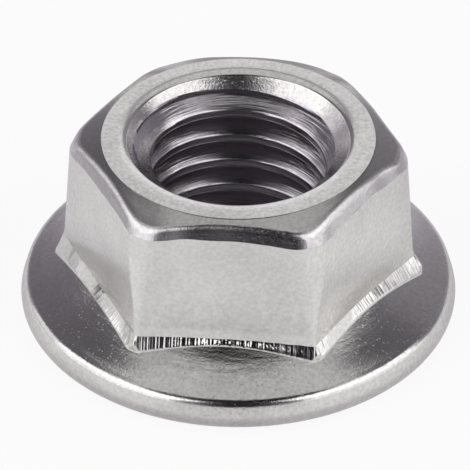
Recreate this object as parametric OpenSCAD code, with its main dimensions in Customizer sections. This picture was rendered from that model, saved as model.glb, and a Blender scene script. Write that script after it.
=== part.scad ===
// Hexagon flange nut for an M10 coarse thread, cold formed in one piece of stainless steel.
// It stands on its bearing face, with the thread's axis on Z and two flats facing along Y.
// The thread itself is left as a plain bore inside its crests.

/* [Bore] */
// Diameter inside the thread's crests
crest_d = 8.5; // [8.2:0.05:9]
// Mouth of the countersink in the top ring
top_sink_d = 11.1; // [10.2:0.1:12]
// Mouth of the countersink in the bearing face
seat_sink_d = 10.8; // [10:0.1:12]
// Angle between opposite sides of both countersinks
sink_angle = 90; // [80:5:110]
// Radius that rounds the mouth in the top ring
mouth_r = 0.9; // [0.2:0.1:1]

/* [Hexagon] */
// Height of the whole nut
nut_h = 9.75; // [9:0.05:11]
// Width across the flats at their foot
flats_w = 15; // [14.6:0.1:15.6]
// Lean of each flat towards the axis, in degrees
flats_lean = 1.2; // [0:0.2:2]
// Width across the blunt corners at the height of the lip
corners_w = 17.26; // [16.6:0.02:17.3]
// Lean of each corner towards the axis, in degrees
corners_lean = 3; // [0:0.5:4]
// Diameter of the flat ring on the top face
ring_d = 13.25; // [12.6:0.05:14]
// Fall of the chamfer round that ring, in degrees
chamfer_fall = 20; // [14:1:30]
// Radius between the chamfer and each corner
shoulder_r = 0.8; // [0.3:0.1:1]
// Height at which each flat turns into the steep bevel under the chamfer
bevel_z = 8.85; // [8.4:0.05:9.2]
// Lean of that bevel towards the axis, in degrees
bevel_lean = 22; // [16:1:28]

/* [Skirt] */
// Height of the lip, where each flat turns into the skirt's sheared band
lip_z = 3.25; // [3:0.05:3.8]
// How far that band flares away from the axis, in degrees
flare = 40; // [28:1:46]
// Diameter to which the points of the ears are cut back
ears_d = 18.1; // [17.8:0.05:18.6]
// Height of the ears' points
ear_z = 2.5; // [2.3:0.1:2.8]
// Height at which the corners start to sweep out to the ears
sweep_z = 3.6; // [3.2:0.1:4]

/* [Flange] */
// Diameter of the flange
flange_d = 21.5; // [20:0.1:24]
// Height of the rim before its upper edge is rounded
rim_h = 1.55; // [1.5:0.05:2.2]
// Radius of the rim's upper edge
rim_upper_r = 0.8; // [0.2:0.1:0.9]
// Radius of the rim's lower edge
rim_lower_r = 0.5; // [0.2:0.1:0.7]
// Slope of the flange's top at the rim, in degrees
rim_slope = 18; // [12:1:24]
// Radius of the hollow sweep from the rim up to the skirt
dish_r = 14; // [10:1:30]

/* [Hidden] */
$fn = 144;
sides = 6;
// Distance by which a cutter passes the face that it cuts
past = 1;

corner_dir = [cos(corners_lean), sin(corners_lean)];
chamfer_dir = [sin(chamfer_fall), cos(chamfer_fall)];
dish_dir = [sin(rim_slope), cos(rim_slope)];

ear_r = ears_d / 2;
rim_r = flange_d / 2;
stock_z = rim_h / 2;

// Centre of a circle of radius r inside two lines, each given by a point and its outward direction
function inner_centre(p, n, q, m, r) =
    let (a = n * p - r, b = m * q - r, det = n[0] * m[1] - n[1] * m[0])
    [(a * m[1] - b * n[1]) / det, (n[0] * b - m[0] * a) / det];

// Radius of the blunt corners at height z
function corner_at(z) = corners_w / 2 - (z - lip_z) * tan(corners_lean);

// Distance of a flat from the axis at height z
function flat_at(z) = flats_w / 2 - (z - lip_z) * tan(flats_lean);

// Half section of the stock that the flats are cut from: ears, corners, chamfer and ring
module stock_section() {
    ring_edge = [ring_d / 2, nut_h];
    corner_foot = [corner_at(sweep_z), sweep_z];
    shoulder = inner_centre(corner_foot, corner_dir, ring_edge, chamfer_dir, shoulder_r);
    polygon([
        [0, stock_z],
        [ear_r, stock_z],
        [ear_r, ear_z],
        corner_foot,
        shoulder + shoulder_r * corner_dir,
        shoulder + shoulder_r * chamfer_dir,
        ring_edge,
        [0, nut_h]
    ]);
    translate(shoulder)
        circle(r = shoulder_r);
}

// Section of the metal taken off beside one flat: the bevel, the leaning flat and the flared band
module flat_cut_section() {
    low = stock_z - past;
    far = rim_r + past;
    top = nut_h + past;
    polygon([
        [flats_w / 2 + (lip_z - low) * tan(flare), low],
        [far, low],
        [far, top],
        [flat_at(bevel_z) - (top - bevel_z) * tan(bevel_lean), top],
        [flat_at(bevel_z), bevel_z],
        [flats_w / 2, lip_z]
    ]);
}

module hexagon() {
    difference() {
        rotate_extrude()
            stock_section();
        for (i = [0 : sides - 1])
            rotate(i * 360 / sides)
                rotate([90, 0, 90])
                    linear_extrude(flange_d, center = true)
                        flat_cut_section();
    }
}

// Half section of the flange: bearing face, rounded rim and the dished slope up to the skirt
module flange_section() {
    dish = [rim_r, rim_h] + dish_r * dish_dir;
    upper_x = rim_r - rim_upper_r;
    upper_z = dish[1] - sqrt(pow(dish_r + rim_upper_r, 2) - pow(dish[0] - upper_x, 2));
    upper = [upper_x, upper_z];
    to_dish = (dish - upper) / norm(dish - upper);
    lower = [rim_r - rim_lower_r, rim_lower_r];
    difference() {
        union() {
            polygon([
                [0, 0],
                [lower[0], 0],
                [rim_r, lower[1]],
                [rim_r, upper_z],
                upper + rim_upper_r * to_dish,
                [upper_x, lip_z],
                [0, lip_z]
            ]);
            translate(lower)
                circle(r = rim_lower_r);
            translate(upper)
                circle(r = rim_upper_r);
        }
        translate(dish)
            circle(r = dish_r);
    }
}

module flange() {
    rotate_extrude()
        flange_section();
}

// Half section of the hole: the bore inside the crests, a countersink at each end and a rounded mouth
module hole_section() {
    crest_r = crest_d / 2;
    widening = tan(sink_angle / 2);
    into_metal = [-cos(sink_angle / 2), sin(sink_angle / 2)];
    top_mouth = [top_sink_d / 2, nut_h];
    round_c = inner_centre(top_mouth, into_metal, top_mouth, [0, 1], mouth_r);
    difference() {
        polygon([
            [0, -past],
            [seat_sink_d / 2 + past * widening, -past],
            [crest_r, (seat_sink_d / 2 - crest_r) / widening],
            [crest_r, nut_h - (top_sink_d / 2 - crest_r) / widening],
            round_c + mouth_r * into_metal,
            round_c + [0, mouth_r],
            [round_c[0], nut_h + past],
            [0, nut_h + past]
        ]);
        translate(round_c)
            circle(r = mouth_r);
    }
}

module flange_nut() {
    color([0.74, 0.73, 0.72])
        difference() {
            union() {
                hexagon();
                flange();
            }
            rotate_extrude()
                hole_section();
        }
}

flange_nut();
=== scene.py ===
import math

import bpy
import numpy as np
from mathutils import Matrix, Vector


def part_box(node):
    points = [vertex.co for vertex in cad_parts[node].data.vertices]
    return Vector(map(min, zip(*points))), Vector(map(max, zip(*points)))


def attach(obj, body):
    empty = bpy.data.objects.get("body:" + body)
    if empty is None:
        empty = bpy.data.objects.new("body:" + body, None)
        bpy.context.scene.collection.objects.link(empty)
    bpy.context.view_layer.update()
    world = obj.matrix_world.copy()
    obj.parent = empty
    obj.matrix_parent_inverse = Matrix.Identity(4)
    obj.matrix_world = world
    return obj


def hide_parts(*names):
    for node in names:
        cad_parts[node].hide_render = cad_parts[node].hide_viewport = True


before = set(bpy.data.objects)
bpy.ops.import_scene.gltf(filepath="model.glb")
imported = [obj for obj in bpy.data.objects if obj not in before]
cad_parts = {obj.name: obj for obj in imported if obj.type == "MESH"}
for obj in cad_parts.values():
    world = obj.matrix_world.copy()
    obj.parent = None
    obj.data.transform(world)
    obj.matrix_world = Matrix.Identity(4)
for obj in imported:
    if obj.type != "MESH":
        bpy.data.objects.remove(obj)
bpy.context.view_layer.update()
print("frame loaded")

mm = 0.001
low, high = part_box("flange_nut")
flangeRadius = high.x / mm
nutHeight = high.z / mm
sides = 6
halfSide = math.pi / sides
rng = np.random.default_rng(10)

# The skin is one mesh of rows that run round the axis. Every row uses the same columns, or every second one.
skin = {
    "boreColumns": 360,
    "hexagonColumns": 720,
    "bandColumns": 1440,
    "cornerCrowding": 0.4,  # how much closer the columns stand at the corners
    "creaseAngle": 33,  # degrees, sharper folds stay hard
}
finishes = ["pressed", "chamfered", "dished", "turned", "sunk", "worn", "bevelled", "sheared", "tapped_painted_shade"]
points = []
faces = []
faceFinish = []


def columnAngles(count):
    turn = 2 * math.pi * np.arange(count) / count
    return turn - skin["cornerCrowding"] * np.sin(sides * turn) / sides


def addRow(theta, radius, height):
    # radius and height in mm, one number or one for each column
    first = len(points)
    radius = np.broadcast_to(radius, theta.shape)
    height = np.broadcast_to(height, theta.shape)
    points.extend(np.column_stack([radius * np.cos(theta), radius * np.sin(theta), height]).tolist())
    return list(range(first, first + len(theta)))


def addFace(corners, finish):
    kept = [c for i, c in enumerate(corners) if c != corners[i - 1]]
    if len(kept) > 2:
        faces.append(kept)
        faceFinish.append(finishes.index(finish))


def joinRows(inner, outer, finish):
    # rows follow the section from the bore over the top to the underside
    n = min(len(inner), len(outer))
    for j in range(n):
        k = (j + 1) % n
        if len(inner) == len(outer):
            addFace([inner[j], outer[j], outer[k], inner[k]], finish)
        elif len(inner) < len(outer):
            between = outer[2 * j + 1]
            addFace([inner[j], outer[2 * j], between], finish)
            addFace([inner[j], between, inner[k]], finish)
            addFace([inner[k], between, outer[2 * k]], finish)
        else:
            between = inner[2 * j + 1]
            addFace([outer[j], between, inner[2 * j]], finish)
            addFace([outer[j], outer[k], between], finish)
            addFace([outer[k], inner[2 * k], between], finish)


def joinAll(rows, finish):
    for inner, outer in zip(rows, rows[1:]):
        joinRows(inner, outer, finish)


# directions in the section, in degrees up from outward; the last two stand square to the countersinks
faceUp, faceDown, sinkUp, sinkDown = 90, 270, 135, 225


def arc(centre, radius, fromAngle, toAngle, steps):
    # (radius, height) points on a circle in the section
    angles = np.radians(np.linspace(fromAngle, toAngle, steps + 1))
    return [(centre[0] + radius * math.cos(a), centre[1] + radius * math.sin(a)) for a in angles]


# Tapped bore and its countersinks
bore = {
    "pitch": 1.5,
    "crestRadius": 4.25,
    "rootRadius": 5.05,
    "crestFlat": 0.38,  # widths of the thread's crests and roots before their edges wear round
    "rootFlat": 0.19,
    "crestWear": 0.16,
    "wearSteps": 3,
    "crestHeight": 0.25,  # height of a crest at +X, less whole pitches
    "flankSteps": 3,
    "topSink": 5.55,  # radius at which each 45 degree countersink would meet its face
    "seatSink": 5.4,
    "seatSinkRound": 0.25,
    "seatSteps": 3,
    "mouthEnd": 5.95,  # where the ring starts to fall towards the mouth
    "mouthSweep": 1.3,
    "mouthSweepAngle": 20,
    "mouthRound": 0.3,
    "mouthSteps": (4, 5),  # in the small round and in the sweep
    "ringStart": 6.2,  # where the ring takes up the hexagon's columns
}


def threadSteps():
    # (height within one pitch, radius) of each line that runs along the thread
    pitch, crest, root, wear = bore["pitch"], bore["crestRadius"], bore["rootRadius"], bore["crestWear"]
    crestEdge = bore["crestFlat"] / 2
    rootEdge = (pitch - bore["rootFlat"]) / 2
    lean = math.atan2(root - crest, rootEdge - crestEdge)
    start = crestEdge - wear * math.tan(lean / 2)
    turns = [lean * k / bore["wearSteps"] for k in range(bore["wearSteps"] + 1)]
    worn = [(start + wear * math.sin(a), crest + wear * (1 - math.cos(a))) for a in turns]
    h, r = worn[-1]
    shares = [(k + 1) / bore["flankSteps"] for k in range(bore["flankSteps"])]
    flank = [(h + (rootEdge - h) * share, r + (root - r) * share) for share in shares]
    below = [(-h, r) for h, r in reversed(worn)]
    above = [(pitch - h, r) for h, r in reversed(flank)]
    return below + worn + flank + [(pitch / 2, root)] + above


def boreRadius(radius, height):
    # the thread runs out where the countersinks are wider
    topSink = bore["topSink"] - (nutHeight - height)
    seatSink = bore["seatSink"] - height
    return np.maximum(radius, np.maximum(topSink, seatSink))


def threadColumn(angle, lines, bottom, top, sunk):
    # one point for each line at this angle, lines past an end share one point there
    column = []
    for h, r in lines:
        height = min(max(h + bore["pitch"] * angle / (2 * math.pi), bottom), top)
        if column and height in (bottom, top) and points[column[-1]][2] == height:
            column.append(column[-1])
            continue
        radius = float(boreRadius(r, height))
        points.append([radius * math.cos(angle), radius * math.sin(angle), height])
        column.append(len(points) - 1)
        if radius > r:
            sunk.add(column[-1])
    return column


def makeThread(bottom, top):
    # the lines climb with the thread, and the columns keep the part between bottom and top
    steps = threadSteps()
    pitch = bore["pitch"]
    spare = 2  # turns that start below the bottom
    turns = int((top - bottom) / pitch) + spare + 1
    start = bore["crestHeight"] - spare * pitch
    lines = [(start + turn * pitch + h, r) for turn in range(turns + 1) for h, r in steps]
    sunk = set()
    grid = [threadColumn(angle, lines, bottom, top, sunk) for angle in columnAngles(skin["boreColumns"])]
    for j, column in enumerate(grid):
        wraps = j == len(grid) - 1
        after = grid[0] if wraps else grid[j + 1]
        shift = len(steps) if wraps else 0
        for i in range(len(lines) - 1 - shift):
            corners = [column[i], column[i + 1], after[i + 1 + shift], after[i + shift]]
            addFace(corners, "sunk" if sunk.issuperset(corners) else "tapped_painted_shade")
    return [c[0] for c in grid], [c[-1] for c in grid]


def makeMouth():
    # from the countersink, through its rounded mouth, to the flat of the ring
    theta = columnAngles(skin["boreColumns"])
    end, sweep, turn = bore["mouthEnd"], bore["mouthSweep"], bore["mouthSweepAngle"]
    sweepCentre = (end, nutHeight - sweep)
    tilt = math.radians(turn)
    small = bore["mouthRound"]
    reach = sweep - small
    smallCentre = (end - reach * math.sin(tilt), sweepCentre[1] + reach * math.cos(tilt))
    smallSteps, sweepSteps = bore["mouthSteps"]
    section = arc(smallCentre, small, sinkUp, faceUp + turn, smallSteps)
    section += arc(sweepCentre, sweep, faceUp + turn, faceUp, sweepSteps)[1:]
    return section, [addRow(theta, r, z) for r, z in section[1:]]


# Hexagon: turned ring and chamfer on top, bevel and six pressed flats with rounded corners
hexagon = {
    "acrossFlats": 15.0,
    "acrossFlatsAt": 4.0,  # height at which that is measured
    "flatsLean": 1.2,  # degrees
    "ringRadius": 6.62,
    "ringOver": 0.04,  # how far the ring reaches out over the start of the chamfer
    "ringGroove": (0.045, 0.07),  # width and depth of the fine groove between them
    "chamferFall": 20,
    "fallAtCorners": [20, 27, 27, 20, 23, 20],  # going round from +X
    "fallSpread": 16,  # degrees to each side over which a corner's own fall fades
    # width of the steep bevel between the chamfer and the flats
    "cornerBevels": [0.3, 0.3, 0.3, 0.3, 0.24, 0.34],
    "middleBevels": [0.3, 0.3, 0.3, 0.3, 0.29, 0.32],
    "bevelLean": 25,
    "bevelRound": 0.42,
    "bevelRoundAtCorners": 0.7,
    "bevelWander": 0.02,  # mm by which its width strays
    "bevelWanderSoft": 80,  # passes that smooth that
    "bevelFoot": 8.8,  # first guess at its height, which the passes below settle
    "bevelPasses": 4,
    "bevelEdge": 0.03,  # share of its width below the last row but one
    "edgeRows": 0.03,  # rows this many mm from an edge keep it crisp
    "cornerTop": 2.2,  # rounding of the corners, high up
    "cornerFoot": 0.25,
    "cornerSharpens": 0.31,  # how much of it is lost for each mm down
    "footHeight": 3.1,  # lowest point of the rounded corners
    "wallRows": 9,
    "roundRows": 5,
    "bevelRows": 3,
}

# Skirt: a sheared band that flares out from the foot of each flat to the flange, and the ears between them
skirt = {
    # height of the lip and distance of the band's foot from the axis, at the corners and at the middle of
    # each face, going round from +X
    "cornerLips": [3.15, 3.15, 3.2, 3.35, 3.08, 3.0],
    "middleLips": [3.2, 3.2, 3.2, 3.2, 3.2, 3.33],
    "cornerFeet": [8.03, 7.95, 7.95, 7.9, 7.88, 7.88],
    "middleFeet": [7.9, 7.88, 7.9, 7.95, 7.78, 7.87],
    # each flat sweeps out a little to its lip
    "lipOut": [0.08, 0.08, 0.1, 0.0, 0.05, 0.02],
    "sweepHeight": 0.6,
    "lipWander": 0.015,  # mm by which the lip's height strays
    "lipWanderSoft": 60,
    "earRadii": [9.1, 9.1, 9.1, 9.1, 8.92, 8.95],
    "earBlunt": 0.02,
    "shearMarks": [0.005, 0.006, 0.005, 0.003, 0.014, 0.004],  # depth of each face's grooves
    "groovePitch": 0.14,
    "grooveDrift": 1.6,  # radians by which a groove strays from its place
    "grooveDriftSoft": 14,
    "grooveWander": 0.15,
    "grooveRough": 0.6,
    "grooveSoft": 1,  # passes that smooth these two
    "grooveGrain": 0.03,  # mm between the finest marks
    "grooveShift": 0.034,  # mm by which each face's marks are moved along
    "grooveEnds": (0.04, 0.35),  # share of the depth that stays at the edges, and how sharply it grows inward
    "sweepRows": 6,
    "bandRows": 8,
    "footStep": 0.08,  # small upright step where the band meets the dish
    "footOut": 0.015,
}


def wrapped(angle):
    return (angle + math.pi) % (2 * math.pi) - math.pi


def faceAt(theta):
    return np.floor(theta / (2 * halfSide)).astype(int) % sides


def nearestCorner(theta):
    corner = np.round(theta / (2 * halfSide)).astype(int)
    return corner % sides, theta - corner * 2 * halfSide


def alongFace(atCorners, atMiddles, theta):
    # one smooth curve over each face
    face = faceAt(theta)
    start, middle = np.array(atCorners)[face], np.array(atMiddles)[face]
    end = np.array(atCorners)[(face + 1) % sides]
    t = wrapped(theta - (face + 0.5) * 2 * halfSide) / halfSide
    return middle + (end - start) / 2 * t + ((start + end) / 2 - middle) * t * t


def lipHeight(theta):
    return alongFace(skirt["cornerLips"], skirt["middleLips"], theta)


def flareRadius(theta):
    # where the flared band would meet the dish, before the ears are cut back
    _, off = nearestCorner(theta)
    return alongFace(skirt["cornerFeet"], skirt["middleFeet"], theta) / np.cos(halfSide - np.abs(off))


def cutBack(theta, radius):
    corner, _ = nearestCorner(theta)
    ear = np.array(skirt["earRadii"])[corner]
    return ear - skirt["earBlunt"] * np.log1p(np.exp((ear - radius) / skirt["earBlunt"]))


def footRadius(theta):
    return cutBack(theta, flareRadius(theta))


def faceDistance(face, height, lip):
    # how far a flat stands from the axis, with the sweep above its lip
    lean = math.tan(math.radians(hexagon["flatsLean"]))
    flat = hexagon["acrossFlats"] / 2 - (height - hexagon["acrossFlatsAt"]) * lean
    share = np.clip((lip + skirt["sweepHeight"] - height) / skirt["sweepHeight"], 0, 1)
    return flat + np.array(skirt["lipOut"])[face] * share ** 2


def sideRadius(theta, height, lip):
    # two flats with a rounded corner between them
    corner, off = nearestCorner(theta)
    before = faceDistance((corner - 1) % sides, height, lip)
    after = faceDistance(corner, height, lip)
    rounding = hexagon["cornerFoot"] + (height - hexagon["footHeight"]) * hexagon["cornerSharpens"]
    rounding = np.clip(rounding, hexagon["cornerFoot"], hexagon["cornerTop"])
    c, s = math.cos(halfSide), math.sin(halfSide)
    x = (before + after - 2 * rounding) / (2 * c)
    y = (after - before) / (2 * s)
    alongRay = x * np.cos(off) + y * np.sin(off)
    inside = np.maximum(rounding ** 2 - (x ** 2 + y ** 2 - alongRay ** 2), 0)
    radius = alongRay + np.sqrt(inside)
    first = np.arctan2(y - rounding * s, x + rounding * c)
    last = np.arctan2(y + rounding * s, x + rounding * c)
    radius = np.where(off < first, before / np.cos(off + halfSide), radius)
    return np.where(off > last, after / np.cos(halfSide - off), radius)


# Flange: a dished slope that falls to a rounded rim
flange = {
    "rimHeight": 1.55,
    "rimSlope": 18,  # degrees, slope of the dish at the rim
    "dishRadius": 14,
    "upperRound": 0.5,
    "rimLean": 16,  # degrees, lean of the rim's side towards the axis
    "lowerRound": 0.7,
    "dishRows": 9,
    "rimRows": 8,
    "rimPasses": 6,  # settle the upper round between the dish and the rim's side
    "seatRows": (9.0, 7.5, 6.2),  # radii
}
slope = math.radians(flange["rimSlope"])
dishCentre = (
    flangeRadius + flange["dishRadius"] * math.sin(slope),
    flange["rimHeight"] + flange["dishRadius"] * math.cos(slope),
)


def dishHeight(radius):
    return dishCentre[1] - np.sqrt(flange["dishRadius"] ** 2 - (dishCentre[0] - radius) ** 2)


def roundNoise(count, passes):
    # random values that close round the axis and vary by about 1, softer with every pass
    noise = rng.normal(size=count)
    for _ in range(passes):
        noise = (np.roll(noise, 1) + 2 * noise + np.roll(noise, -1)) / 4
    return noise / noise.std()


def makeRing():
    theta = columnAngles(skin["hexagonColumns"])
    outer = hexagon["ringRadius"] + hexagon["ringOver"]
    width, depth = hexagon["ringGroove"]
    section = [(bore["ringStart"], nutHeight), (outer, nutHeight), (outer, nutHeight - depth)]
    return outer + width, [addRow(theta, r, z) for r, z in section]


def cornerShare(theta):
    # 1 at a corner, 0 from the end of its spread on
    _, off = nearestCorner(theta)
    return np.clip(1 - np.abs(off) / math.radians(hexagon["fallSpread"]), 0, 1)


def chamferFall(theta):
    corner, _ = nearestCorner(theta)
    near = cornerShare(theta)
    extra = np.array(hexagon["fallAtCorners"])[corner] - hexagon["chamferFall"]
    return np.radians(hexagon["chamferFall"] + extra * near ** 2 * (3 - 2 * near))


def foldLines(theta, fall, lean):
    # the fold between chamfer and bevel, and the one between bevel and side
    out = alongFace(hexagon["cornerBevels"], hexagon["middleBevels"], theta)
    out = out + hexagon["bevelWander"] * roundNoise(len(theta), hexagon["bevelWanderSoft"])
    wallTop = np.full(theta.shape, hexagon["bevelFoot"])
    for _ in range(hexagon["bevelPasses"]):
        wall = sideRadius(theta, wallTop, lipHeight(theta))
        foldRadius = wall - out
        foldHeight = nutHeight - (foldRadius - hexagon["ringRadius"]) * np.tan(fall)
        wallTop = foldHeight - out / math.tan(lean)
    return foldRadius, foldHeight, wall, wallTop


def makeChamfer(start):
    # chamfer, then the steep bevel that follows the flats and corners
    theta = columnAngles(skin["hexagonColumns"])
    fall = chamferFall(theta)
    lean = math.radians(hexagon["bevelLean"])
    foldRadius, foldHeight, wall, wallTop = foldLines(theta, fall, lean)
    more = hexagon["bevelRoundAtCorners"] - hexagon["bevelRound"]
    rounding = hexagon["bevelRound"] + more * cornerShare(theta) ** 2
    half = rounding / (1 + np.cos(math.pi / 2 - fall - lean))
    centreRadius = foldRadius - half * (np.sin(fall) + math.cos(lean))
    centreHeight = foldHeight - half * (np.cos(fall) + math.sin(lean))
    rows = []
    for r in (start, start + hexagon["edgeRows"], (start + foldRadius) / 2):
        rows.append(addRow(theta, r, nutHeight - (r - hexagon["ringRadius"]) * np.tan(fall)))
    chamfered = len(rows)
    for k in range(hexagon["roundRows"] + 1):
        a = math.pi / 2 - fall + (lean - math.pi / 2 + fall) * k / hexagon["roundRows"]
        r, z = centreRadius + rounding * np.cos(a), centreHeight + rounding * np.sin(a)
        rows.append(addRow(theta, r, z))
    folded = len(rows)
    count = hexagon["bevelRows"]
    shares = [k / count for k in range(1, count)] + [1 - hexagon["bevelEdge"], 1]
    for share in shares:
        rows.append(addRow(theta, r + (wall - r) * share, z + (wallTop - z) * share))
    return rows[:chamfered + 1], rows[chamfered:folded], rows[folded - 1:], wallTop


def makeSides(wallTop, lip):
    # flats and corners down to the lip
    theta = columnAngles(skin["hexagonColumns"])
    start = wallTop - hexagon["edgeRows"]
    middle = lip + skirt["sweepHeight"]
    heights = [start + (middle - start) * k / hexagon["wallRows"] for k in range(hexagon["wallRows"])]
    heights += [middle + (lip - middle) * k / skirt["sweepRows"] for k in range(skirt["sweepRows"] + 1)]
    return [addRow(theta, sideRadius(theta, z, lip), z) for z in heights]


def makeGrooves():
    # depth of the upright shear marks across a face, by place along it
    grain = skirt["grooveGrain"]
    along = np.arange(-flangeRadius / 2, flangeRadius / 2, grain)
    drift = skirt["grooveDrift"] * roundNoise(len(along), skirt["grooveDriftSoft"])
    waves = np.sin(2 * math.pi * along / skirt["groovePitch"] + drift)
    return along, waves + skirt["grooveRough"] * roundNoise(len(along), skirt["grooveSoft"])


def makeBand(lip):
    # sheared face, torn into fine upright grooves, from the lip out to the foot
    theta = columnAngles(skin["bandColumns"])
    face = faceAt(theta)
    lipRadius = sideRadius(theta, lip, lip)
    flare = flareRadius(theta)
    footHeight = dishHeight(footRadius(theta)) + skirt["footStep"]
    depth = np.array(skirt["shearMarks"])[face]
    along, grooves = makeGrooves()
    least, growth = skirt["grooveEnds"]
    rows = []
    for k in range(skirt["bandRows"] + 1):
        share = k / skirt["bandRows"]
        r = cutBack(theta, lipRadius + (flare - lipRadius) * share)
        sideways = r * np.sin(theta - (face + 0.5) * 2 * halfSide) + face * skirt["grooveShift"]
        marks = np.interp(sideways, along, grooves)
        marks = marks + skirt["grooveWander"] * roundNoise(len(theta), skirt["grooveSoft"])
        fade = math.sin(math.pi * min(max(share, least), 1 - least)) ** growth
        rows.append(addRow(theta, r + depth * fade * marks, lip + (footHeight - lip) * share))
    return rows


def makeFlange():
    # step at the band's foot, dish, rim and bearing face
    theta = columnAngles(skin["hexagonColumns"])
    foot = footRadius(theta)
    upper, lower = flange["upperRound"], flange["lowerRound"]
    lean = math.radians(flange["rimLean"])
    lowerCentre = (flangeRadius - lower, lower)
    reach = flange["dishRadius"] + upper
    upperZ = dishCentre[1] - reach
    for _ in range(flange["rimPasses"]):
        rise = (upperZ - lowerCentre[1]) * math.sin(lean)
        upperX = lowerCentre[0] + (lower - upper - rise) / math.cos(lean)
        upperZ = dishCentre[1] - math.sqrt(reach ** 2 - (dishCentre[0] - upperX) ** 2)
    steepness = math.degrees(math.atan2(dishCentre[1] - upperZ, dishCentre[0] - upperX))
    rim = arc((upperX, upperZ), upper, steepness, flange["rimLean"], flange["rimRows"])
    rows = []
    start = foot + skirt["footOut"]
    for k in range(flange["dishRows"]):
        r = start + (rim[0][0] - start) * k / flange["dishRows"]
        rows.append(addRow(theta, r, dishHeight(r)))
    rows.append(addRow(theta, *rim[0]))
    theta = columnAngles(skin["boreColumns"])
    section = rim[1:] + arc(lowerCentre, lower, flange["rimLean"], faceDown - 360, flange["rimRows"])
    section += [(r, 0) for r in flange["seatRows"]]
    rows += [addRow(theta, r, z) for r, z in section]
    return rows


def seatSection():
    # rounded mouth of the countersink in the bearing face
    small = bore["seatSinkRound"]
    tangent = small * math.tan(math.radians(faceDown - sinkDown) / 2)
    return arc((bore["seatSink"] + tangent, small), small, faceDown, sinkDown, bore["seatSteps"])


def makeSkin(name):
    data = bpy.data.meshes.new(name)
    data.from_pydata([[c * mm for c in p] for p in points], [], faces)
    data.polygons.foreach_set("material_index", faceFinish)
    data.polygons.foreach_set("use_smooth", [True] * len(faces))
    data.set_sharp_from_angle(angle=math.radians(skin["creaseAngle"]))
    data.validate()
    made = bpy.data.objects.new(name, data)
    bpy.context.scene.collection.objects.link(made)
    return made


def makeNut():
    seat = seatSection()
    mouth, mouthRows = makeMouth()
    threadBottom, threadTop = makeThread(seat[-1][1], mouth[0][1])
    joinAll([threadTop] + mouthRows, "turned")
    ringEnd, ringRows = makeRing()
    joinAll([mouthRows[-1]] + ringRows, "turned")
    chamferRows, foldRows, bevelRows, wallTop = makeChamfer(ringEnd)
    joinAll([ringRows[-1]] + chamferRows, "chamfered")
    joinAll(foldRows, "worn")
    joinAll(bevelRows, "bevelled")
    bandLip = lipHeight(columnAngles(skin["bandColumns"]))
    bandLip = bandLip + skirt["lipWander"] * roundNoise(len(bandLip), skirt["lipWanderSoft"])
    sideRows = makeSides(wallTop, bandLip[::2])
    joinAll([bevelRows[-1]] + sideRows, "pressed")
    bandRows = makeBand(bandLip)
    joinRows(sideRows[-1], bandRows[0], "sheared")
    joinAll(bandRows, "sheared")
    flangeRows = makeFlange()
    joinAll([bandRows[-1]] + flangeRows, "dished")
    theta = columnAngles(skin["boreColumns"])
    seatRows = [addRow(theta, r, z) for r, z in seat[:-1]]
    joinAll([flangeRows[-1]] + seatRows + [threadBottom], "turned")
    return makeSkin("flange_nut_skin")


nut = makeNut()
triangles = sum(len(p.vertices) - 2 for p in nut.data.polygons)
print("nut made,", triangles, "triangles")


# Node helpers
def newGroup(name, inputs, outputs):
    group = bpy.data.node_groups.new(name, "ShaderNodeTree")
    for label, kind, value in inputs:
        socket = group.interface.new_socket(label, in_out="INPUT", socket_type=kind)
        if value is not None:
            socket.default_value = value
    for label, kind in outputs:
        group.interface.new_socket(label, in_out="OUTPUT", socket_type=kind)
    return group, group.nodes.new("NodeGroupInput"), group.nodes.new("NodeGroupOutput")


def placeNode(tree, kind, values=None, links=None, **settings):
    node = tree.nodes.new(kind)
    for key, value in settings.items():
        setattr(node, key, value)
    for key, value in (values or {}).items():
        node.inputs[key].default_value = value
    for key, source in (links or {}).items():
        tree.links.new(source, node.inputs[key])
    return node


def mathNode(tree, operation, a, b=None):
    node = tree.nodes.new("ShaderNodeMath")
    node.operation = operation
    for i, value in enumerate((a, b)):
        if value is None:
            continue
        if isinstance(value, (int, float)):
            node.inputs[i].default_value = value
        else:
            tree.links.new(value, node.inputs[i])
    return node.outputs[0]


def fadeNode(tree, value, span, levels):
    # soft change from the first level to the second while value crosses the span
    ends = {"From Min": span[0], "From Max": span[1], "To Min": levels[0], "To Max": levels[1]}
    return placeNode(tree, "ShaderNodeMapRange", ends, {"Value": value}, interpolation_type="SMOOTHSTEP")


fineNoise = {"Detail": 2.0, "Roughness": 0.6}
pitEdge = (0.05, 0.22)  # radius of a pit's floor and of its mouth, as shares of the spacing


def makePebbling():
    # shallow dents left by the die, and sparse pits between them, all in mm
    group, gin, gout = newGroup(
        "die_pebbling",
        [("Position", "NodeSocketVector", None), ("Size", "NodeSocketFloat", 0.2),
         ("Depth", "NodeSocketFloat", 0.003), ("Pit Spacing", "NodeSocketFloat", 0.4),
         ("Pit Depth", "NodeSocketFloat", 0.004)],
        [("Height", "NodeSocketFloat")],
    )
    scale = mathNode(group, "DIVIDE", 1 / mm, gin.outputs["Size"])
    noise = placeNode(group, "ShaderNodeTexNoise", fineNoise,
                      {"Vector": gin.outputs["Position"], "Scale": scale})
    dents = mathNode(group, "MULTIPLY", noise.outputs[0], gin.outputs["Depth"])
    spread = mathNode(group, "DIVIDE", 1 / mm, gin.outputs["Pit Spacing"])
    cells = placeNode(group, "ShaderNodeTexVoronoi",
                      links={"Vector": gin.outputs["Position"], "Scale": spread})
    pit = fadeNode(group, cells.outputs["Distance"], pitEdge, (1, 0))
    pits = mathNode(group, "MULTIPLY", pit.outputs[0], gin.outputs["Pit Depth"])
    group.links.new(mathNode(group, "SUBTRACT", dents, pits), gout.inputs["Height"])
    return group


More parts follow.
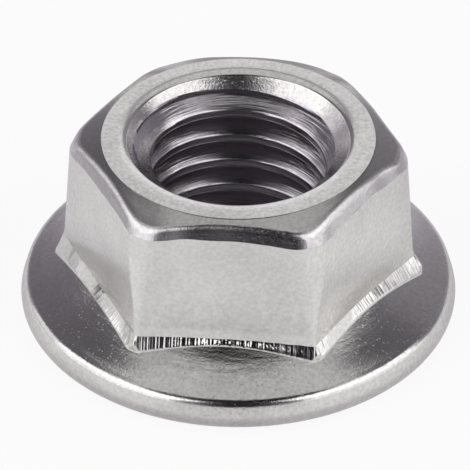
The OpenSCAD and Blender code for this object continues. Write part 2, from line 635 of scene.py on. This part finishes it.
def makeToolLines():
    # fine lines with their own pace round, outward and upward, in lines per mm
    group, gin, gout = newGroup(
        "tool_lines",
        [("Position", "NodeSocketVector", None), ("Round", "NodeSocketFloat", 1.0),
         ("Outward", "NodeSocketFloat", 1.0), ("Upward", "NodeSocketFloat", 1.0),
         ("Depth", "NodeSocketFloat", 0.002)],
        [("Height", "NodeSocketFloat")],
    )
    parts = placeNode(group, "ShaderNodeSeparateXYZ", links={0: gin.outputs["Position"]})
    flat = placeNode(group, "ShaderNodeCombineXYZ", links={0: parts.outputs[0], 1: parts.outputs[1]})
    reach = placeNode(group, "ShaderNodeVectorMath", links={0: flat.outputs[0]}, operation="LENGTH")
    outward = placeNode(group, "ShaderNodeVectorMath", links={0: flat.outputs[0]}, operation="NORMALIZE")
    pace = mathNode(group, "MULTIPLY", gin.outputs["Round"], hexagon["acrossFlats"] / 2)
    circle = placeNode(group, "ShaderNodeVectorMath", links={0: outward.outputs[0], "Scale": pace},
                       operation="SCALE")
    up = mathNode(group, "MULTIPLY", parts.outputs[2], 1 / mm)
    up = mathNode(group, "MULTIPLY", up, gin.outputs["Upward"])
    lift = placeNode(group, "ShaderNodeCombineXYZ", links={2: up})
    place = placeNode(group, "ShaderNodeVectorMath", links={0: circle.outputs[0], 1: lift.outputs[0]},
                      operation="ADD")
    out = mathNode(group, "MULTIPLY", reach.outputs["Value"], 1 / mm)
    out = mathNode(group, "MULTIPLY", out, gin.outputs["Outward"])
    noise = placeNode(group, "ShaderNodeTexNoise", {"Scale": 1.0, **fineNoise},
                      {"Vector": place.outputs[0], "W": out}, noise_dimensions="4D")
    height = mathNode(group, "MULTIPLY", noise.outputs[0], gin.outputs["Depth"])
    group.links.new(height, gout.inputs["Height"])
    return group


toneDrift = {
    "noises": [(0.35, 0.4), (5, 0.6)],  # patches per mm and weight, broad and fine
    "detail": 2.5,
    "span": (0.35, 0.65),  # the part of the noise that runs from light to dark
}


def makeSteelTone():
    # faint drift of tone and dulling over the metal
    group, gin, gout = newGroup(
        "steel_tone",
        [("Position", "NodeSocketVector", None), ("Light", "NodeSocketColor", (0.69, 0.678, 0.66, 1)),
         ("Dark", "NodeSocketColor", (0.56, 0.55, 0.535, 1)), ("Smooth", "NodeSocketFloat", 0.1),
         ("Dull", "NodeSocketFloat", 0.16), ("Tone", "NodeSocketVector", (1, 1, 1))],
        [("Color", "NodeSocketColor"), ("Roughness", "NodeSocketFloat")],
    )
    both = None
    for perMm, weight in toneDrift["noises"]:
        noise = placeNode(group, "ShaderNodeTexNoise", {"Scale": perMm / mm, "Detail": toneDrift["detail"]},
                          {"Vector": gin.outputs["Position"]})
        part = mathNode(group, "MULTIPLY", noise.outputs[0], weight)
        both = part if both is None else mathNode(group, "ADD", both, part)
    span = dict(zip(("From Min", "From Max"), toneDrift["span"]))
    share = placeNode(group, "ShaderNodeMapRange", span, {"Value": both})
    ends = {0: share.outputs[0], 6: gin.outputs["Light"], 7: gin.outputs["Dark"]}
    mix = placeNode(group, "ShaderNodeMix", links=ends, data_type="RGBA")
    ends = {"Value": both, "To Min": gin.outputs["Smooth"], "To Max": gin.outputs["Dull"]}
    dull = placeNode(group, "ShaderNodeMapRange", span, ends)
    toned = placeNode(group, "ShaderNodeVectorMath", links={0: mix.outputs[2], 1: gin.outputs["Tone"]},
                      operation="MULTIPLY")
    group.links.new(toned.outputs[0], gout.inputs["Color"])
    group.links.new(dull.outputs[0], gout.inputs["Roughness"])
    return group


pebbling = makePebbling()
toolLines = makeToolLines()
steelTone = makeSteelTone()

# Each finish: tone, smoothest and dullest roughness, die pebbling (size, depth), pits (spacing, depth)
# and tool lines (round, outward, upward, depth)
finishLooks = {
    "pressed": {
        "tone": (1, 1, 1), "smooth": 0.1, "dull": 0.17,
        "pebbles": (0.12, 0.0018), "pits": (0.5, 0.0015), "lines": (0.6, 2.0, 2.0, 0.0006),
    },
    "chamfered": {
        "tone": (0.76, 0.76, 0.76), "smooth": 0.16, "dull": 0.24,
        "pebbles": (0.1, 0.002), "pits": (0.4, 0.002), "lines": (0.6, 2.0, 2.0, 0.001),
    },
    "dished": {
        "tone": (0.98, 0.98, 0.98), "smooth": 0.13, "dull": 0.2,
        "pebbles": (0.1, 0.005), "pits": (0.2, 0.004), "lines": (0.6, 2.2, 2.0, 0.014),
    },
    "turned": {
        "tone": (1, 1, 1), "smooth": 0.16, "dull": 0.24,
        "pebbles": (0.12, 0.0014), "pits": (0.4, 0.0015), "lines": (5.0, 0.7, 0.7, 0.0012),
    },
    "sunk": {
        "tone": (0.9, 0.89, 0.9), "smooth": 0.18, "dull": 0.28,
        "pebbles": (0.12, 0.012), "pits": (0.2, 0.008), "lines": (1.0, 4.0, 4.0, 0.003),
    },
    "worn": {
        "tone": (0.94, 0.93, 0.95), "smooth": 0.18, "dull": 0.26,
        "pebbles": (0.07, 0.012), "pits": (0.18, 0.004), "lines": (3.0, 0.5, 1.0, 0.002),
    },
    "bevelled": {
        "tone": (0.88, 0.87, 0.9), "smooth": 0.14, "dull": 0.22,
        "pebbles": (0.07, 0.007), "pits": (0.2, 0.003), "lines": (3.0, 0.5, 1.0, 0.002),
    },
    "sheared": {
        "tone": (0.95, 0.95, 0.95), "smooth": 0.1, "dull": 0.16,
        "pebbles": (0.15, 0.001), "pits": (0.4, 0.001), "lines": (7.0, 0.5, 0.8, 0.003),
    },
    # the thread's darker, purple-tinted tone is painted shade and dim reflection inside the bore, over its
    # real tool marks
    "tapped_painted_shade": {
        "tone": (0.8, 0.77, 0.84), "smooth": 0.18, "dull": 0.26,
        "pebbles": (0.25, 0.002), "pits": (0.5, 0.001), "lines": (0.12, 11.0, 11.0, 0.02),
    },
}


def makeSteel(name, look):
    material = bpy.data.materials.new(name + "_steel")
    material.use_nodes = True
    tree = material.node_tree
    shader = tree.nodes["Principled BSDF"]
    shader.inputs["Metallic"].default_value = 1.0
    place = placeNode(tree, "ShaderNodeTexCoord").outputs["Object"]
    tone = placeNode(tree, "ShaderNodeGroup", node_tree=steelTone)
    tone.inputs["Smooth"].default_value = look["smooth"]
    tone.inputs["Dull"].default_value = look["dull"]
    tone.inputs["Tone"].default_value = look["tone"]
    dents = placeNode(tree, "ShaderNodeGroup", node_tree=pebbling)
    for label, value in zip(("Size", "Depth", "Pit Spacing", "Pit Depth"), look["pebbles"] + look["pits"]):
        dents.inputs[label].default_value = value
    lines = placeNode(tree, "ShaderNodeGroup", node_tree=toolLines)
    for label, value in zip(("Round", "Outward", "Upward", "Depth"), look["lines"]):
        lines.inputs[label].default_value = value
    for node in (tone, dents, lines):
        tree.links.new(place, node.inputs["Position"])
    height = mathNode(tree, "ADD", dents.outputs["Height"], lines.outputs["Height"])
    bump = placeNode(tree, "ShaderNodeBump", {"Strength": 1.0, "Distance": mm}, {"Height": height})
    tree.links.new(tone.outputs["Color"], shader.inputs["Base Color"])
    tree.links.new(tone.outputs["Roughness"], shader.inputs["Roughness"])
    tree.links.new(bump.outputs["Normal"], shader.inputs["Normal"])
    return material


for finish in finishes:
    nut.data.materials.append(makeSteel(finish, finishLooks[finish]))
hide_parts("flange_nut")
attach(nut, "root")
print("steel finished")

# Studio: white floor, tall soft lamps over low screens on both sides, one lamp behind and one above, and
# dark cards that darken a few reflections
studio = {
    "floorRadius": 2.5,  # m
    "floorCorners": 96,
    "floorWhite": 0.9,
    "floorShine": 0.9,  # share of the white that doesn't depend on the lamps
    "floorGlow": 0.7,  # what reflections see of it all round
    # painted sheen of the lamps on the floor, seen only in reflections
    "paintedLampSheen": 0.36,  # more of it towards each bright side
    "paintedLampSheenPower": 2.0,  # higher keeps that closer to the side's middle
    "brightSides": (-62, 52),
    # painted shade in the floor's glow, seen only in reflections: mm from the axis between which it changes,
    # and its share before and after
    "shades": [(4.6, 9.5, 0.2, 1), (10.5, 15, 0.66, 1), (30, 90, 1, 0.5)],
    "lampDistance": 0.7,  # m
    # turn from the camera's side, height in degrees, wide and high in degrees, brightness
    "lamps": {
        "left_lamp": (-65.5, 38, 65, 36, 1.6),
        "left_screen": (-65.5, 10, 65, 20, 1.05),
        "left_edge": (-112, 21, 28, 28, 0.75),
        "left_card": (-122, 2.5, 36, 5, 0.05),
        "left_wing": (-92, 60, 18, 14, 0.7),
        "right_lamp": (67, 38, 62, 36, 1.6),
        "right_screen": (68, 10, 72, 20, 0.88),
        "right_card": (123, 6, 34, 12, 0.1),
        "right_wing": (92, 60, 18, 14, 0.7),
        "right_wall": (150, 26, 44, 36, 0.1),
        "back_lamp": (180, 24, 30, 32, 0.78),
        "top_lamp": (180, 70, 44, 48, 0.64),
    },
    "cameraTurn": 4.9,
}

room = {
    # degrees above the floor and brightness there
    "levels": [(2.5, 0.9), (7, 0.42), (16, 0.28), (30, 0.2), (50, 0.13), (70, 0.06)],
    "tint": (1.0, 0.92, 1.06),
    "tintFrom": 7,  # degrees, the horizon itself is white
    # the dark gap on the camera's side, sideways place and reach as sines, brightness inside and outside it
    "gapAt": 0.1,
    "gapReach": (0.14, 0.42),
    "gapLevels": (0.06, 0.9),
    "gapDepth": (-0.15, 0.05),
    "gapFoot": (0.0, 0.1),  # how far up the floor's white reaches in it
}


def heading(turn, height):
    a, e = math.radians(turn), math.radians(height)
    return Vector((math.sin(a) * math.cos(e), -math.cos(a) * math.cos(e), math.sin(e)))


def makeLamps():
    distance = studio["lampDistance"]
    for name, (turn, height, wide, tall, brightness) in studio["lamps"].items():
        lamp = bpy.data.lights.new(name, "AREA")
        lamp.shape = "RECTANGLE"
        lamp.size = 2 * distance * math.tan(math.radians(wide / 2))
        lamp.size_y = 2 * distance * math.tan(math.radians(tall / 2))
        lamp.energy = brightness * math.pi * lamp.size * lamp.size_y
        back = heading(turn + studio["cameraTurn"], height)
        holder = bpy.data.objects.new(name, lamp)
        holder.location = back * distance
        holder.rotation_mode = "QUATERNION"
        holder.rotation_quaternion = (-back).to_track_quat("-Z", "Y")
        holder.visible_camera = False
        bpy.context.scene.collection.objects.link(holder)


def makeGlow(tree, glossy):
    # reflections see the floor with a painted sheen towards the lamps and painted shade under and round the
    # nut, the camera sees it white
    place = placeNode(tree, "ShaderNodeTexCoord").outputs["Object"]
    reach = placeNode(tree, "ShaderNodeVectorMath", links={0: place}, operation="LENGTH")
    towards = placeNode(tree, "ShaderNodeVectorMath", links={0: place}, operation="NORMALIZE")
    glow = studio["floorGlow"]
    for turn in studio["brightSides"]:
        side = placeNode(tree, "ShaderNodeVectorMath", {1: heading(turn + studio["cameraTurn"], 0)},
                         {0: towards.outputs[0]}, operation="DOT_PRODUCT")
        near = mathNode(tree, "MAXIMUM", side.outputs["Value"], 0.0)
        near = mathNode(tree, "POWER", near, studio["paintedLampSheenPower"])
        near = mathNode(tree, "MULTIPLY", near, studio["paintedLampSheen"])
        glow = mathNode(tree, "ADD", near, glow)
    # painted shadow under and round the nut, and painted dimming far off
    for nearest, farthest, before, after in studio["shades"]:
        shade = fadeNode(tree, reach.outputs["Value"], (nearest * mm, farthest * mm), (before, after))
        glow = mathNode(tree, "MULTIPLY", glow, shade.outputs[0])
    strength = placeNode(tree, "ShaderNodeMapRange", {"To Min": 1.0}, {"Value": glossy, "To Max": glow})
    # where the glow is painted darker, its colour takes the room's tint
    white = placeNode(tree, "ShaderNodeMix", {6: (*room["tint"], 1), 7: (1, 1, 1, 1)},
                      {0: strength.outputs[0]}, data_type="RGBA")
    links = {"Color": white.outputs[2], "Strength": strength.outputs[0]}
    return placeNode(tree, "ShaderNodeEmission", links=links)


def makeFloor():
    data = bpy.data.meshes.new("studio_floor")
    radius, count = studio["floorRadius"], studio["floorCorners"]
    around = [2 * math.pi * i / count for i in range(count)]
    edge = [(radius * math.cos(a), radius * math.sin(a), 0) for a in around]
    data.from_pydata(edge, [], [list(range(count))])
    floor = bpy.data.objects.new("studio_floor", data)
    bpy.context.scene.collection.objects.link(floor)
    material = bpy.data.materials.new("studio_floor")
    material.use_nodes = True
    tree = material.node_tree
    tree.nodes.remove(tree.nodes["Principled BSDF"])
    white = studio["floorWhite"]
    matt = placeNode(tree, "ShaderNodeBsdfDiffuse", {"Color": (white, white, white, 1)})
    rays = placeNode(tree, "ShaderNodeLightPath")
    glow = makeGlow(tree, rays.outputs["Is Glossy Ray"])
    seen = mathNode(tree, "MAXIMUM", rays.outputs["Is Camera Ray"], rays.outputs["Is Glossy Ray"])
    seen = mathNode(tree, "MAXIMUM", seen, rays.outputs["Is Transmission Ray"])
    share = mathNode(tree, "MULTIPLY", seen, studio["floorShine"])
    mix = placeNode(tree, "ShaderNodeMixShader", links={0: share, 1: matt.outputs[0], 2: glow.outputs[0]})
    tree.links.new(mix.outputs[0], tree.nodes["Material Output"].inputs["Surface"])
    data.materials.append(material)


def makeSurroundings():
    # white just above the floor, then a dark room, darkest behind the camera
    world = bpy.data.worlds.new("studio_room")
    bpy.context.scene.world = world
    world.use_nodes = True
    tree = world.node_tree
    place = placeNode(tree, "ShaderNodeTexCoord").outputs["Generated"]
    parts = placeNode(tree, "ShaderNodeSeparateXYZ", links={0: place})
    ramp = placeNode(tree, "ShaderNodeValToRGB", links={0: parts.outputs[2]})
    marks = ramp.color_ramp.elements
    while len(marks) < len(room["levels"]):
        marks.new(0.5)
    for mark, (angle, level) in zip(marks, room["levels"]):
        mark.position = math.sin(math.radians(angle))
        tint = room["tint"] if angle >= room["tintFrom"] else (1, 1, 1)
        mark.color = [level * share for share in tint] + [1]
    tree.links.new(ramp.outputs[0], tree.nodes["Background"].inputs["Color"])
    aside = mathNode(tree, "ABSOLUTE", mathNode(tree, "SUBTRACT", parts.outputs[0], room["gapAt"]))
    gap = fadeNode(tree, aside, room["gapReach"], room["gapLevels"])
    facing = fadeNode(tree, parts.outputs[1], room["gapDepth"], (0, 1))
    tree.links.new(gap.outputs[0], facing.inputs["To Min"])
    foot = fadeNode(tree, parts.outputs[2], room["gapFoot"], (1, 0))
    strength = mathNode(tree, "MAXIMUM", facing.outputs[0], foot.outputs[0])
    tree.links.new(strength, tree.nodes["Background"].inputs["Strength"])


# Camera, by the photograph's own outline: square picture, a long lens a little to the right of the front flat
camera = {
    "distance": 240,  # mm
    "elevation": 36.7,  # degrees
    "pixelsPerMm": 20.33,
    "pictureSize": 470,
    "sensor": 36,  # mm
    "clip": (0.01, 20),  # m
    "aimRight": -0.165,
    "aimHeight": 3.82,
}


def makeCamera():
    lens = bpy.data.cameras.new("studio_camera")
    lens.sensor_width = camera["sensor"]
    lens.lens = camera["pixelsPerMm"] * camera["distance"] * camera["sensor"] / camera["pictureSize"]
    lens.clip_start, lens.clip_end = camera["clip"]
    holder = bpy.data.objects.new("studio_camera", lens)
    back = heading(studio["cameraTurn"], camera["elevation"])
    a = math.radians(studio["cameraTurn"])
    aim = Vector((math.cos(a), math.sin(a), 0)) * camera["aimRight"] + Vector((0, 0, camera["aimHeight"]))
    holder.location = (aim + back * camera["distance"]) * mm
    holder.rotation_mode = "QUATERNION"
    holder.rotation_quaternion = (-back).to_track_quat("-Z", "Y")
    bpy.context.scene.collection.objects.link(holder)
    bpy.context.scene.camera = holder


makeLamps()
makeFloor()
makeSurroundings()
makeCamera()
bpy.context.scene.view_settings.view_transform = "Standard"
print("studio ready")

bpy.context.view_layer.update()
